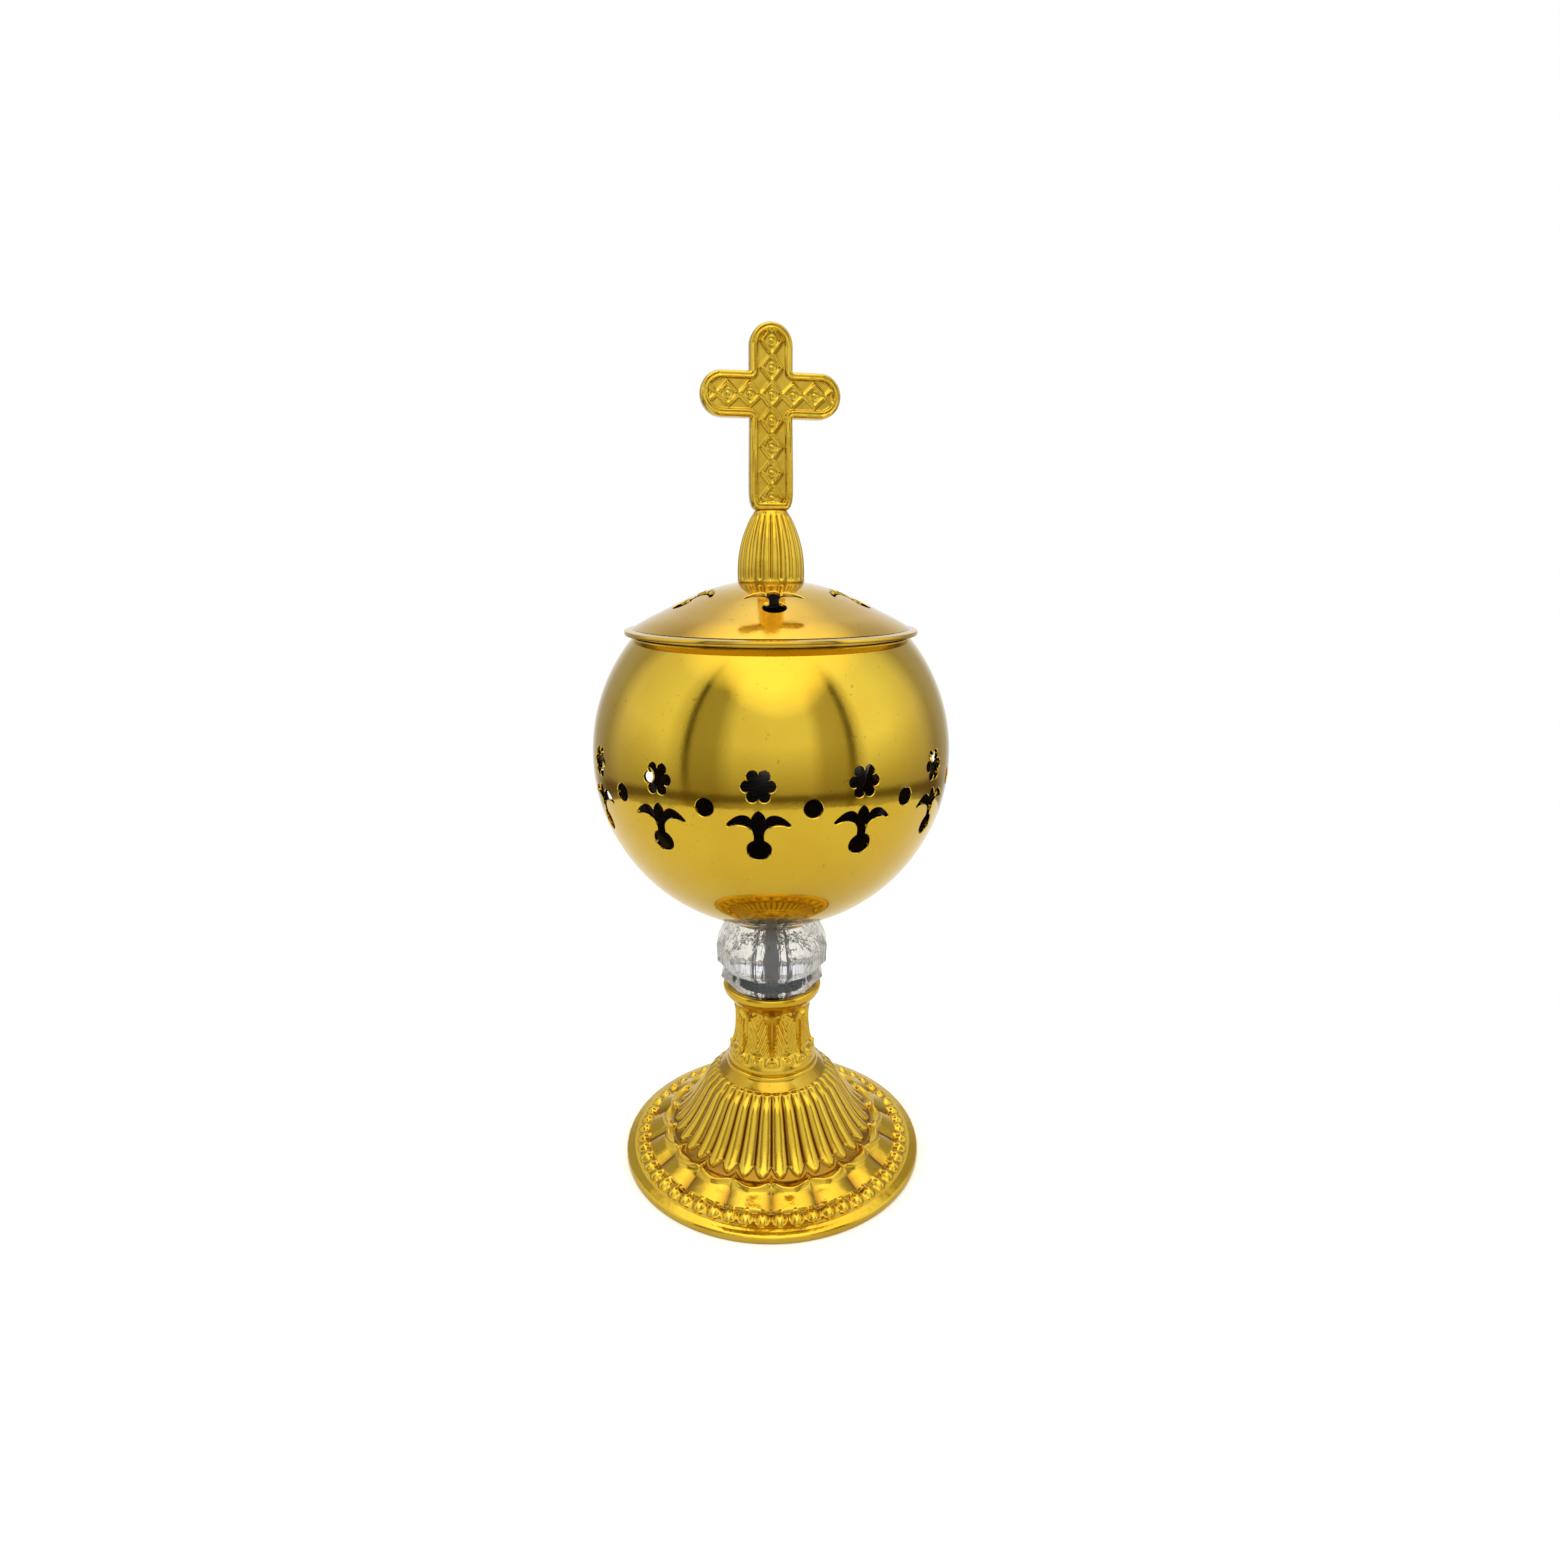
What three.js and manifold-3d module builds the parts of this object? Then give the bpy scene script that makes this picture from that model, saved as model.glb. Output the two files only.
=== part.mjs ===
// Standing thurible censer: fluted foot, leafed neck, crystal knop, pierced bowl with a lift-out
// ember cup, and a vented lid with a bell and a cross.
// Millimetres, +Z up, the foot stands on z = 0, the front faces -Y.
import * as THREE from "three";
import { mergeVertices } from "three/addons/utils/BufferGeometryUtils.js";
import Module from "manifold-3d";

const wasm = await Module();
wasm.setup();

// ---- Driving dimensions ----

const RAD = Math.PI / 180;

// Rod and hardware (M4)
const ROD_R = 2.0;
const HOLE_R = 2.3;
const NUT_FLATS = 7.0;
const NUT_H = 3.2;

// Foot
const FOOT_R = 41.0;
const FOOT_TOP_Z = 26.9;
const FOOT_CEILING_Z = 22.6;
const FOOT_FLUTES = 36;
const FOOT_BEADS = 54;
const FLUTE_DEPTH = 0.6;

// Neck
const NECK_SEAT_Z = 48.0;
const NECK_RIM_Z = 50.0;

// Crystal knop
const KNOP_BOTTOM_Z = 48.8;
const KNOP_TOP_Z = 68.5;
const KNOP_SIDES = 12;

// Bowl
const BOWL_CENTRE_Z = 113.6;
const BOWL_R = 44.7;
const BOWL_WALL = 0.9;
const BOWL_BASE_R = 9.0;
const BOWL_MOUTH_Z = 142.9;
const BOWL_REPEATS = 12;
const ROSETTE_AZ = -3.0;
const ROSETTE_LAT = 2.5;
const ROSETTE_TIP_R = 3.75;
const ROSETTE_NOTCH_R = 2.35;
const DOT_R = 2.1;
const DOT_LAT = -4.0;
const FLEUR_LAT = -11.8;

// Ember cup
const CUP_FLANGE_R = 33.2;
const CUP_FLANGE_H = 0.5;
const CUP_TOP_R = 31.5;
const CUP_BASE_R = 24.0;
const CUP_BASE_Z = 104.0;
const CUP_WALL = 0.8;
const CUP_FLANGE_Z = BOWL_MOUTH_Z + CUP_FLANGE_H;

// Lid
const LID_R = 35.9;
const LID_Z = CUP_FLANGE_Z;
const LID_TOP_Z = 155.6;
const LID_WALL = 0.8;
const LID_VENTS = 5;
const LID_VENT_AZ = 2.5;
const LID_VENT_R = 19.3;
const COLLAR_R = 30.2;

// Bell and cross
const BELL_TOP_Z = 172.3;
const BELL_FLUTES = 20;
const CROSS_TOP_Z = 213.5;
const CROSS_ARM_Z = 198.0;
const CROSS_HALF_SPAN = 16.55;
const CROSS_HALF_BAR = 5.0;
const CROSS_HALF_THICK = 1.9;
const CROSS_BORDER = 1.9;
const CROSS_RECESS = 0.45;
const CROSS_YAW = 12;

const GOLD = { color: 0xc99a2c, roughness: 0.16, metalness: 1 };
const CAST_GOLD = { color: 0xc4942a, roughness: 0.28, metalness: 1 };
const LID_GOLD = { color: 0xcf9a38, roughness: 0.18, metalness: 1 };
const STEEL = { color: 0xb8babd, roughness: 0.3, metalness: 1 };
const CRYSTAL = { color: 0xe9edf0, roughness: 0.03, metalness: 0, transparent: true, opacity: 0.45 };
const CLEAR_NYLON = { color: 0xe4e4de, roughness: 0.5, metalness: 0 };

// ---- Solid helpers ----

// A geometry as a manifold-3d solid.
function solid(geometry) {
  const plain = geometry.clone();
  plain.deleteAttribute("normal");
  plain.deleteAttribute("uv");
  const merged = mergeVertices(plain, 1e-4);
  return new wasm.Manifold(
    new wasm.Mesh({
      numProp: 3,
      vertProperties: merged.attributes.position.array,
      triVerts: new Uint32Array(merged.index.array),
    }),
  );
}

// A manifold-3d solid back as a geometry.
function geometryOf(body) {
  const mesh = body.getMesh();
  const geometry = new THREE.BufferGeometry();
  geometry.setAttribute("position", new THREE.BufferAttribute(mesh.vertProperties, 3));
  geometry.setIndex(new THREE.BufferAttribute(mesh.triVerts, 1));
  return geometry;
}

// One named sub-part with its own material.
function piece(name, body, look) {
  const geometry = geometryOf(body).toNonIndexed();
  geometry.computeVertexNormals();
  const mesh = new THREE.Mesh(geometry, new THREE.MeshStandardMaterial(look));
  mesh.name = name;
  return mesh;
}

// A closed or axis-to-axis outline of [radius, height] pairs turned about the z axis.
// "ripple" may change the radius by angle; the outline runs up the outside and down the inside.
function turnedGeometry(outline, segments, ripple) {
  const points = outline.map(([r, z]) => new THREE.Vector2(r, z));
  const geometry = new THREE.LatheGeometry(points, segments);
  geometry.rotateX(Math.PI / 2);
  if (!ripple) return geometry;
  const position = geometry.attributes.position;
  for (let i = 0; i < position.count; i++) {
    const x = position.getX(i);
    const y = position.getY(i);
    const r = Math.hypot(x, y);
    const scale = r > 0.01 ? ripple(r, Math.atan2(y, x), position.getZ(i)) / r : 1;
    position.setX(i, x * scale);
    position.setY(i, y * scale);
  }
  return geometry;
}

function turned(outline, segments, ripple) {
  return solid(turnedGeometry(outline, segments, ripple));
}

// A ring with a square section.
function ring(innerR, outerR, lowZ, highZ, segments) {
  const outline = [
    [innerR, lowZ],
    [outerR, lowZ],
    [outerR, highZ],
    [innerR, highZ],
    [innerR, lowZ],
  ];
  return turned(outline, segments);
}

// A round bar on the z axis.
function bar(radius, lowZ, highZ, segments) {
  const outline = [
    [0, lowZ],
    [radius, lowZ],
    [radius, highZ],
    [0, highZ],
  ];
  return turned(outline, segments);
}

// Points along a circle's arc about [0, centreZ], from one latitude to another.
function arc(centreZ, radius, fromLat, toLat, steps) {
  const points = [];
  for (let i = 0; i <= steps; i++) {
    const lat = (fromLat + ((toLat - fromLat) * i) / steps) * RAD;
    points.push([radius * Math.cos(lat), centreZ + radius * Math.sin(lat)]);
  }
  return points;
}

// The latitude at which a sphere about the bowl's centre crosses a height.
function latitudeAt(z, radius) {
  return Math.asin((z - BOWL_CENTRE_Z) / radius) / RAD;
}

// An M4 hexagon nut standing on lowZ.
function hexNut(lowZ) {
  const cornerR = NUT_FLATS / Math.sqrt(3);
  const hexagon = new THREE.CylinderGeometry(cornerR, cornerR, NUT_H, 6);
  hexagon.rotateX(Math.PI / 2);
  hexagon.translate(0, 0, lowZ + NUT_H / 2);
  return solid(hexagon).subtract(bar(ROD_R + 0.1, lowZ - 1, lowZ + NUT_H + 1, 24));
}

// ---- Pierced patterns ----

// Fleur outline about its neck: a pointed bud and two drooping arms above, a round lobe below.
// "up" and "down" scale the two halves.
function fleurShape(up, down, steps) {
  const half = new THREE.Path();
  half.moveTo(0, 5.9);
  half.quadraticCurveTo(1.5, 4.9, 1.5, 3.95);
  half.bezierCurveTo(2.5, 5.3, 4.6, 5.4, 6.85, 2.7);
  half.lineTo(6.35, 2.15);
  half.bezierCurveTo(4.6, 3.1, 1.3, 2.6, 1.1, 0.4);
  half.lineTo(1.08, -1.02);
  half.absellipse(0, -3.35, 2.72, 2.55, 66 * RAD, -90 * RAD, true);
  const scaled = (p) => new THREE.Vector2(p.x, p.y * (p.y > 0 ? up : down));
  const right = half.getPoints(steps).map(scaled);
  const left = right.slice(1, -1).map((p) => new THREE.Vector2(-p.x, p.y));
  return new THREE.Shape([...right, ...left.reverse()]);
}

// Six round petals, two of them level.
function rosetteShape(steps) {
  const points = [];
  for (let i = 0; i < steps; i++) {
    const angle = (i * 2 * Math.PI) / steps;
    const swell = Math.sqrt(Math.abs(Math.cos(3 * angle)));
    const r = ROSETTE_NOTCH_R + (ROSETTE_TIP_R - ROSETTE_NOTCH_R) * swell;
    points.push(new THREE.Vector2(r * Math.cos(angle), r * Math.sin(angle)));
  }
  return new THREE.Shape(points);
}

function discShape(radius, steps) {
  const points = [];
  for (let i = 0; i < steps; i++) {
    const angle = (i * 2 * Math.PI) / steps;
    points.push(new THREE.Vector2(radius * Math.cos(angle), radius * Math.sin(angle)));
  }
  return new THREE.Shape(points);
}

// A cutter through the bowl's wall at a latitude and an azimuth counted from the front.
function bowlCutter(shape, lat, az) {
  const cutter = new THREE.ExtrudeGeometry(shape, { depth: 8, bevelEnabled: false });
  cutter.translate(0, 0, BOWL_R - 5);
  cutter.rotateX((90 - lat) * RAD);
  cutter.rotateZ(az * RAD);
  cutter.translate(0, 0, BOWL_CENTRE_Z);
  return solid(cutter);
}

// ---- Standing part ----

function foot() {
  const outside = [
    [FOOT_R, 0],
    [FOOT_R, 1.8],
    [38.8, 2.7],
    [37.2, 3.7],
    [35.4, 4.2],
    [33, 5.4],
    [30, 7],
    [28, 8.2],
    [24.5, 11.6],
    [21, 16.7],
    [18.5, 20.8],
    [16.5, 22.7],
    [15, 24.3],
    [12.4, FOOT_TOP_Z],
  ];
  const inside = [
    [HOLE_R, FOOT_TOP_Z],
    [HOLE_R, FOOT_CEILING_Z],
    [14, FOOT_CEILING_Z],
    [18.6, 15.8],
    [22.4, 10.2],
    [28, 5.2],
    [35, 1.8],
    [38.4, 0],
    [FOOT_R, 0],
  ];
  const waves = (count, angle) => Math.cos(count * angle);
  // Flutes, scallops and beads on the upper face only.
  const ripple = (r, angle, z) => {
    const onTop = z > 10 ? r > 18 : z > 2.6 + (FOOT_R - r) * 0.32;
    if (!onTop) return r;
    const fluted = r > 18 && r < 25 && z > 11;
    if (fluted) return r + FLUTE_DEPTH * 0.5 * waves(FOOT_FLUTES, angle);
    const scalloped = r > 29 && r < 31;
    if (scalloped) return r + FLUTE_DEPTH * 0.7 * waves(FOOT_FLUTES / 2, angle);
    const beaded = r > 37 && r < 37.5;
    if (beaded) return r + 0.5 * waves(FOOT_BEADS, angle);
    return r;
  };
  return turned([...outside, ...inside], FOOT_FLUTES * 2, ripple);
}

function footWasher() {
  return ring(HOLE_R, 6, FOOT_CEILING_Z - 1, FOOT_CEILING_Z, 24);
}

function footLockWasher() {
  return ring(HOLE_R, 3.9, FOOT_CEILING_Z - 2, FOOT_CEILING_Z - 1, 24);
}

function footNut() {
  return hexNut(FOOT_CEILING_Z - 2 - NUT_H);
}

function tieRod() {
  return bar(ROD_R, 15.4, 76.4, 24);
}

function stemSleeve() {
  const outline = [
    [7.5, FOOT_TOP_Z],
    [11.8, FOOT_TOP_Z],
    [12.1, 27.4],
    [12.0, 28.8],
    [10.6, 31.2],
    [9.8, 34.4],
    [9.5, 40.6],
    [10.3, 44.2],
    [11.6, 45.6],
    [13.2, 47.6],
    [13.3, 49],
    [12.9, NECK_RIM_Z],
    [12.0, NECK_RIM_Z],
    [11.2, NECK_SEAT_Z],
    [HOLE_R, NECK_SEAT_Z],
    [HOLE_R, 45.4],
    [7.5, 43.4],
    [7.5, FOOT_TOP_Z],
  ];
  return turned(outline, 36);
}

function lowerGasket() {
  return ring(HOLE_R, 7.4, NECK_SEAT_Z, KNOP_BOTTOM_Z, 24);
}

// Bead cut in twelve upright columns of flat facets, with a notch between its belt and its skirt.
function crystalKnop() {
  const outline = [
    [HOLE_R, KNOP_BOTTOM_Z],
    [9.5, KNOP_BOTTOM_Z],
    [12.0, 50.2],
    [14.0, 52.2],
    [12.8, 54.7],
    [15.0, 57.2],
    [15.1, 61.8],
    [13.9, 64.6],
    [12.6, 66.4],
    [11.0, KNOP_TOP_Z],
    [HOLE_R, KNOP_TOP_Z],
    [HOLE_R, KNOP_BOTTOM_Z],
  ];
  const geometry = turnedGeometry(outline, KNOP_SIDES);
  geometry.rotateZ(Math.PI / KNOP_SIDES);
  return solid(geometry);
}

function upperGasket() {
  return ring(HOLE_R, 7.4, KNOP_TOP_Z, KNOP_TOP_Z + 0.5, 24);
}

function bowlSeat() {
  return ring(HOLE_R, 8.6, KNOP_TOP_Z + 0.5, bowlBaseZ(), 24);
}

// Height of the flat base of the bowl.
function bowlBaseZ() {
  return BOWL_CENTRE_Z - Math.sqrt(BOWL_R ** 2 - BOWL_BASE_R ** 2);
}

function bowlShell() {
  const innerR = BOWL_R - BOWL_WALL;
  const outsideLat = latitudeAt(bowlBaseZ(), BOWL_R);
  const floorZ = bowlBaseZ() + BOWL_WALL;
  const outside = arc(BOWL_CENTRE_Z, BOWL_R, outsideLat, latitudeAt(BOWL_MOUTH_Z, BOWL_R), 11);
  const mouthLat = latitudeAt(BOWL_MOUTH_Z, innerR);
  const inside = arc(BOWL_CENTRE_Z, innerR, mouthLat, latitudeAt(floorZ, innerR), 8);
  const base = [HOLE_R, bowlBaseZ()];
  let shell = turned([base, ...outside, ...inside, [HOLE_R, floorZ], base], 48);
  const step = 360 / BOWL_REPEATS;
  for (let i = 0; i < BOWL_REPEATS; i++) {
    const az = ROSETTE_AZ + i * step;
    shell = shell.subtract(bowlCutter(rosetteShape(18), ROSETTE_LAT, az));
    shell = shell.subtract(bowlCutter(discShape(DOT_R, 8), DOT_LAT, az + step / 2));
    shell = shell.subtract(bowlCutter(fleurShape(1, 1, 3), FLEUR_LAT, az));
  }
  return shell;
}

function bowlWasher() {
  return ring(HOLE_R, 6, bowlBaseZ() + BOWL_WALL, bowlBaseZ() + BOWL_WALL + 1, 24);
}

function bowlNut() {
  return hexNut(bowlBaseZ() + BOWL_WALL + 1);
}

// ---- Lift-out cup ----

function emberCup() {
  const outline = [
    [0, CUP_BASE_Z],
    [CUP_BASE_R - 2, CUP_BASE_Z],
    [CUP_BASE_R, CUP_BASE_Z + 1.6],
    [CUP_TOP_R - 1.4, 130],
    [CUP_TOP_R, 138],
    [CUP_TOP_R, BOWL_MOUTH_Z],
    [CUP_FLANGE_R, BOWL_MOUTH_Z],
    [CUP_FLANGE_R, CUP_FLANGE_Z],
    [CUP_TOP_R - CUP_WALL, CUP_FLANGE_Z],
    [CUP_TOP_R - CUP_WALL, 138],
    [CUP_TOP_R - 1.4 - CUP_WALL, 130],
    [CUP_BASE_R - CUP_WALL, CUP_BASE_Z + 2],
    [CUP_BASE_R - 2.4, CUP_BASE_Z + CUP_WALL],
    [0, CUP_BASE_Z + CUP_WALL],
  ];
  return turned(outline, 48);
}

// ---- Lift-off lid ----

function lidShell() {
  const section = [
    [32.6, LID_Z],
    [LID_R, LID_Z],
    [LID_R, LID_Z + 1.2],
    [34, 145.0],
    [28.5, 148.0],
    [22, 151.1],
    [17, 153.3],
    [12, 154.9],
    [8.4, LID_TOP_Z],
    [HOLE_R, LID_TOP_Z],
    [HOLE_R, LID_TOP_Z - LID_WALL],
    [9, LID_TOP_Z - LID_WALL - 0.1],
    [15, 153.1],
    [22, 150.2],
    [28.5, 147.0],
    [32.6, 144.8],
    [32.6, LID_Z],
  ];
  let shell = turned(section, 48);
  for (let i = 0; i < LID_VENTS; i++) {
    const outline = fleurShape(0.8, 0.91, 3);
    const vent = new THREE.ExtrudeGeometry(outline, { depth: 16, bevelEnabled: false });
    vent.translate(0, -LID_VENT_R, LID_Z);
    vent.rotateZ((LID_VENT_AZ + (i * 360) / LID_VENTS) * RAD);
    shell = shell.subtract(solid(vent));
  }
  return shell;
}

// Ring brazed under the dome; its lower edge hangs inside the mouth of the cup.
function lidCollar() {
  return ring(COLLAR_R - 1, COLLAR_R, LID_Z - 4, 145.8, 48);
}

function finialBell() {
  const outline = [
    [0, 166],
    [2.1, 166],
    [2.1, LID_TOP_Z],
    [8.0, LID_TOP_Z],
    [8.2, LID_TOP_Z + 0.5],
    [8.1, 159],
    [7.3, 164.6],
    [6.2, 168],
    [5.1, 170.2],
    [4.2, 171.6],
    [4.1, BELL_TOP_Z],
    [1.8, BELL_TOP_Z],
    [1.8, 168],
    [0, 168],
  ];
  const ripple = (r, angle, z) => {
    const fluted = r > 4.9 && z > 158 && z < 171;
    return fluted ? r + 0.25 * Math.cos(BELL_FLUTES * angle) - 0.1 : r;
  };
  return turned(outline, BELL_FLUTES * 2, ripple);
}

function finialStud() {
  return bar(ROD_R, 149.6, 165.6, 24);
}

function finialWasher() {
  return ring(HOLE_R, 6, LID_TOP_Z - LID_WALL - 1.1, LID_TOP_Z - LID_WALL - 0.1, 24);
}

function finialNut() {
  return hexNut(LID_TOP_Z - LID_WALL - 1.1 - NUT_H);
}

// Cross outline with round ends, drawn "inset" inside its edge: x across, y up from the bell's top.
function crossShape(inset, steps) {
  const half = CROSS_HALF_BAR - inset;
  const armY = CROSS_ARM_Z - BELL_TOP_Z;
  const topY = CROSS_TOP_Z - BELL_TOP_Z - CROSS_HALF_BAR;
  const armX = CROSS_HALF_SPAN - CROSS_HALF_BAR;
  const footY = inset + 0.001;
  const outline = new THREE.Shape();
  outline.moveTo(-4.1 + inset * 0.9, footY);
  outline.lineTo(4.1 - inset * 0.9, footY);
  outline.quadraticCurveTo(half + 0.1, footY + 0.8, half + 0.2, footY + 3.6);
  outline.lineTo(half, armY - half);
  outline.lineTo(armX, armY - half);
  outline.absarc(armX, armY, half, -Math.PI / 2, Math.PI / 2, false);
  outline.lineTo(half, armY + half);
  outline.lineTo(half, topY);
  outline.absarc(0, topY, half, 0, Math.PI, false);
  outline.lineTo(-half, armY + half);
  outline.lineTo(-armX, armY + half);
  outline.absarc(-armX, armY, half, Math.PI / 2, (3 * Math.PI) / 2, false);
  outline.lineTo(-half, armY - half);
  outline.lineTo(-half - 0.2, footY + 3.6);
  outline.quadraticCurveTo(-half - 0.1, footY + 0.8, -4.1 + inset * 0.9, footY);
  return new THREE.Shape(outline.getPoints(steps));
}

// A slab of the cross's outline between two depths, front to back.
function crossSlab(inset, nearY, farY) {
  const depth = farY - nearY;
  const slab = new THREE.ExtrudeGeometry(crossShape(inset, 8), { depth, bevelEnabled: false });
  slab.rotateX(Math.PI / 2);
  slab.translate(0, farY, BELL_TOP_Z);
  return solid(slab);
}

function cross() {
  const floorY = CROSS_HALF_THICK - CROSS_RECESS;
  let body = crossSlab(0, -CROSS_HALF_THICK, CROSS_HALF_THICK);
  body = body.subtract(crossSlab(CROSS_BORDER, -CROSS_HALF_THICK - 1, -floorY));
  body = body.subtract(crossSlab(CROSS_BORDER, floorY, CROSS_HALF_THICK + 1));
  body = body.add(bar(1.5, BELL_TOP_Z - 3.8, BELL_TOP_Z + 1, 16));
  const geometry = geometryOf(body);
  geometry.rotateZ(CROSS_YAW * RAD);
  return solid(geometry);
}

// ---- Assembly ----

const censer = new THREE.Group();
censer.name = "thurible_censer";
censer.add(piece("foot", foot(), CAST_GOLD));
censer.add(piece("foot_washer", footWasher(), STEEL));
censer.add(piece("foot_lock_washer", footLockWasher(), STEEL));
censer.add(piece("foot_nut", footNut(), STEEL));
censer.add(piece("tie_rod", tieRod(), STEEL));
censer.add(piece("stem_sleeve", stemSleeve(), CAST_GOLD));
censer.add(piece("lower_gasket", lowerGasket(), CLEAR_NYLON));
censer.add(piece("crystal_knop", crystalKnop(), CRYSTAL));
censer.add(piece("upper_gasket", upperGasket(), CLEAR_NYLON));
censer.add(piece("bowl_seat", bowlSeat(), GOLD));
censer.add(piece("bowl_shell", bowlShell(), GOLD));
censer.add(piece("bowl_washer", bowlWasher(), STEEL));
censer.add(piece("bowl_nut", bowlNut(), STEEL));
censer.add(piece("ember_cup", emberCup(), STEEL));
censer.add(piece("lid_shell", lidShell(), LID_GOLD));
censer.add(piece("lid_collar", lidCollar(), LID_GOLD));
censer.add(piece("finial_bell", finialBell(), CAST_GOLD));
censer.add(piece("finial_stud", finialStud(), STEEL));
censer.add(piece("finial_washer", finialWasher(), STEEL));
censer.add(piece("finial_nut", finialNut(), STEEL));
censer.add(piece("cross", cross(), CAST_GOLD));

export default censer;
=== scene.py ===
# Standing thurible censer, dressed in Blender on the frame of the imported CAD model.
# The geometry below is written in millimetres and scaled to metres when a mesh is made.
# +Z is up, the front faces -Y, and an azimuth is counted from the front towards +X.
import math

import bmesh
import bpy
import numpy as np
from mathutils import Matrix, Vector
from mathutils.geometry import delaunay_2d_cdt


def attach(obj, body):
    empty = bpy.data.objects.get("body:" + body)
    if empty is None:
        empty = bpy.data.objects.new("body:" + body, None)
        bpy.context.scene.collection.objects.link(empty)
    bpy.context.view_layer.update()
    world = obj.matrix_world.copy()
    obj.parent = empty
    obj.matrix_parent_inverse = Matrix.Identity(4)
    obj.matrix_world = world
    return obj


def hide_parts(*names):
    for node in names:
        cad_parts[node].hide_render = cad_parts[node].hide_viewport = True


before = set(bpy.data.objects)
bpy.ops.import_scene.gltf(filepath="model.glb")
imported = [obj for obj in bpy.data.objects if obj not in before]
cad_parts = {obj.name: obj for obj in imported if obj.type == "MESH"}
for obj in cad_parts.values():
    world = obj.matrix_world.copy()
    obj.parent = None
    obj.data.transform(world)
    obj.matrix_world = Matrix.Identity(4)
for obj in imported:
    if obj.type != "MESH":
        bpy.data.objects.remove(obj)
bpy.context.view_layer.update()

MM = 0.001

# Sizes shared by several pieces, in millimetres; angles in degrees.
HOLE_R = 2.3

FOOT_TOP_Z = 26.9
FOOT_FLUTES = 36
FOOT_SCALLOPS = 18
FOOT_BEADS = 54

NECK_LEAVES = 8
NECK_LEAF_AZ = -22.0
NECK_SEAT_Z = 48.0

KNOP_BOTTOM_Z = 48.8
KNOP_TOP_Z = 68.5
KNOP_SIDES = 12

BOWL_SEAT_Z = 69.8
BOWL_CENTRE_Z = 113.6
BOWL_R = 44.7
BOWL_WALL = 0.9
BOWL_MOUTH_Z = 142.9
BOWL_BASE_R = 9.0
BOWL_REPEATS = 12
ROSETTE_AZ = -3.0

# Heights of the three rows of openings over the bowl's equator, measured along its surface.
ROSETTE_V = 1.95
DOT_V = -3.1
FLEUR_V = -9.2

CUP_BOTTOM_Z = 104.0
FLANGE_TOP_Z = 143.4

LID_TOP_Z = 155.6
LID_VENTS = 5
LID_VENT_AZ = 2.5
LID_VENT_R = 19.3
LID_WALL = 0.8

BELL_TOP_Z = 172.3
BELL_FLUTES = 20
CROSS_ARM_Z = 198.0
CROSS_YAW = 12.0


# ---- Curves and outlines ----


def smooth_curve(points, steps):
    """A curve through the points (Catmull-Rom), with that many steps between each two."""
    p = np.array(points, float)
    p = np.vstack([2 * p[0] - p[1], p, 2 * p[-1] - p[-2]])
    out = []
    for i in range(1, len(p) - 2):
        for t in np.arange(steps) / steps:
            a = 2 * p[i]
            b = (p[i + 1] - p[i - 1]) * t
            c = (2 * p[i - 1] - 5 * p[i] + 4 * p[i + 1] - p[i + 2]) * t * t
            d = (3 * p[i] - p[i - 1] - 3 * p[i + 1] + p[i + 2]) * t**3
            out.append(0.5 * (a + b + c + d))
    out.append(p[-2])
    return [tuple(q) for q in out]


def rounded(points, radius, steps=4):
    """The closed outline with each corner rounded by about that radius."""
    p = [np.array(q, float) for q in points]
    out = []
    for i, corner in enumerate(p):
        before, after = p[i - 1] - corner, p[(i + 1) % len(p)] - corner
        cut = min(radius, 0.45 * np.linalg.norm(before), 0.45 * np.linalg.norm(after))
        start = corner + before / np.linalg.norm(before) * cut
        end = corner + after / np.linalg.norm(after) * cut
        for t in np.linspace(0, 1, steps + 1):
            out.append(tuple((1 - t) ** 2 * start + 2 * t * (1 - t) * corner + t * t * end))
    return out


def bezier(a, b, c, d, steps):
    """Points on a cubic Bezier curve, without its last point."""
    t = (np.arange(steps) / steps)[:, None]
    a, b, c, d = (np.array(q, float) for q in (a, b, c, d))
    return (1 - t) ** 3 * a + 3 * t * (1 - t) ** 2 * b + 3 * t * t * (1 - t) * c + t**3 * d


def fleur_outline(up=1.0, down=1.0):
    """Fleur about its neck: a pointed bud and two drooping arms above, a round lobe below."""
    angles = np.radians(np.linspace(66, -90, 13))
    lobe = np.column_stack([2.72 * np.cos(angles), -3.35 + 2.55 * np.sin(angles)])
    right = np.vstack(
        [
            bezier((0, 5.9), (0.8, 5.5), (1.35, 4.8), (1.5, 3.95), 5),
            bezier((1.5, 3.95), (2.5, 5.3), (4.6, 5.4), (6.85, 2.7), 9),
            bezier((6.85, 2.7), (6.9, 2.3), (6.7, 2.1), (6.35, 2.15), 2),
            bezier((6.35, 2.15), (4.6, 3.1), (1.3, 2.6), (1.1, 0.4), 9),
            bezier((1.1, 0.4), (1.07, -0.1), (1.07, -0.6), (1.106, -1.02), 3),
            lobe,
        ]
    )
    left = right[1:-1][::-1] * (-1, 1)
    outline = np.vstack([right, left])
    outline[:, 1] *= np.where(outline[:, 1] > 0, up, down)
    return outline[::-1]


def rosette_outline():
    """Six round petals, two of them level."""
    angle = np.radians(np.arange(0, 360, 5))
    swell = np.abs(np.cos(3 * angle)) ** 0.55
    r = 2.3 + 1.5 * swell
    return np.column_stack([r * np.cos(angle), r * np.sin(angle)])


def disc_outline(radius):
    angle = np.radians(np.arange(0, 360, 15))
    return np.column_stack([radius * np.cos(angle), radius * np.sin(angle)])


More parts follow.
